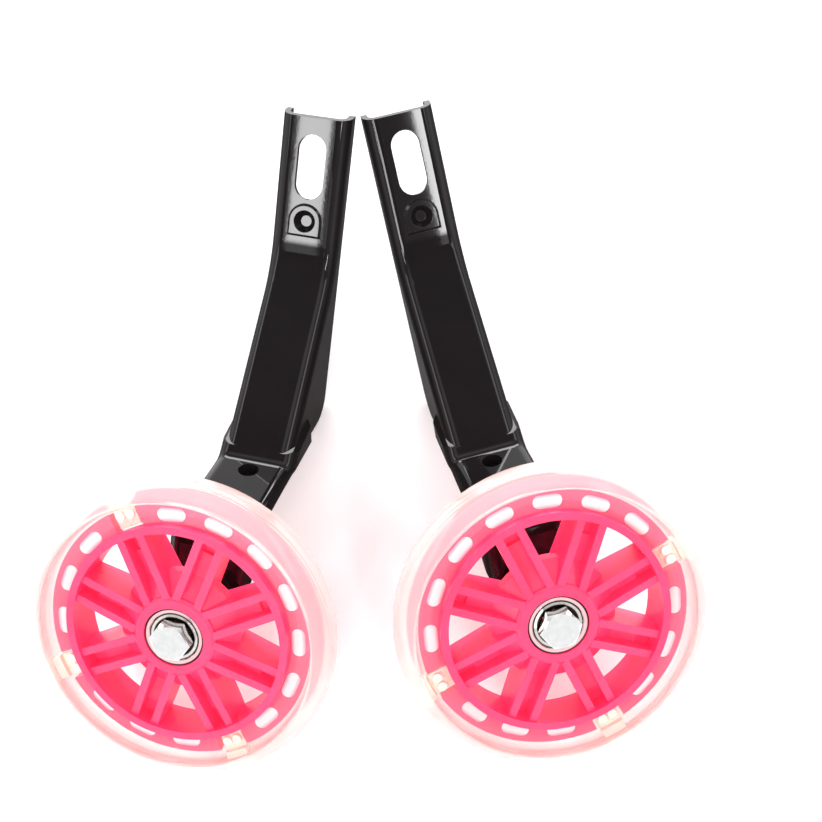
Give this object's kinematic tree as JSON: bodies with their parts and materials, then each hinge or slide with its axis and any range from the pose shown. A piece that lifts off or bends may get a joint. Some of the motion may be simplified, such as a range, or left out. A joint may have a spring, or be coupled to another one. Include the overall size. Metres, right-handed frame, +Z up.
{
  "type": "bicycle training wheels",
  "caption": "Bicycle training wheels: bent black steel channel arms with axle slots, each carrying a clear-tyred light-up wheel with a spoked pink core on ball bearings.",
  "frame": {"origin": "on the floor, under the middle of the box around both units", "axes": "+Z up from the floor; +Y from the wheels towards the slotted tops of the arms; +X from the left unit to the right one"},
  "size_m": [0.2427, 0.2498, 0.0904],
  "materials": {
    "arm_paint": "gloss black",
    "core_plastic": "translucent pink, moulded",
    "clear_tyre": "clear, smooth",
    "light_board": "white",
    "nylon": "natural",
    "zinc": "bright zinc",
    "bearing_steel": "ground",
    "shield_steel": "satin"
  },
  "bodies": {
    "arms": {"left_arm": "arm_paint", "left_axle_bolt": "zinc", "left_head_washer": "zinc", "left_outer_bearing_inner_race": "bearing_steel", "left_bearing_spacer": "zinc", "left_inner_bearing_inner_race": "bearing_steel", "left_arm_spacer": "zinc", "left_nut_washer": "zinc", "left_lock_nut": "zinc", "left_nut_insert": "nylon", "right_arm": "arm_paint", "right_axle_bolt": "zinc", "right_head_washer": "zinc", "right_outer_bearing_inner_race": "bearing_steel", "right_bearing_spacer": "zinc", "right_inner_bearing_inner_race": "bearing_steel", "right_arm_spacer": "zinc", "right_nut_washer": "zinc", "right_lock_nut": "zinc", "right_nut_insert": "nylon"},
    "left_wheel": {"left_wheel_core": "core_plastic", "left_tyre": "clear_tyre", "left_light_modules": "light_board", "left_outer_bearing_outer_race": "bearing_steel", "left_outer_bearing_balls": "bearing_steel", "left_outer_bearing_shields": "shield_steel", "left_inner_bearing_outer_race": "bearing_steel", "left_inner_bearing_balls": "bearing_steel", "left_inner_bearing_shields": "shield_steel"},
    "right_wheel": {"right_wheel_core": "core_plastic", "right_tyre": "clear_tyre", "right_light_modules": "light_board", "right_outer_bearing_outer_race": "bearing_steel", "right_outer_bearing_balls": "bearing_steel", "right_outer_bearing_shields": "shield_steel", "right_inner_bearing_outer_race": "bearing_steel", "right_inner_bearing_balls": "bearing_steel", "right_inner_bearing_shields": "shield_steel"}
  },
  "joints": [
    {"name": "left_wheel_spin", "type": "hinge", "parent": "arms", "child": "left_wheel", "pos_m": [-0.0655, -0.07986, 0.04274], "axis": [-0.1683, -0.6699, 0.7231], "continuous": true},
    {"name": "right_wheel_spin", "type": "hinge", "parent": "arms", "child": "right_wheel", "pos_m": [0.0655, -0.07986, 0.04274], "axis": [0.1683, -0.6699, 0.7231], "continuous": true}
  ]
}
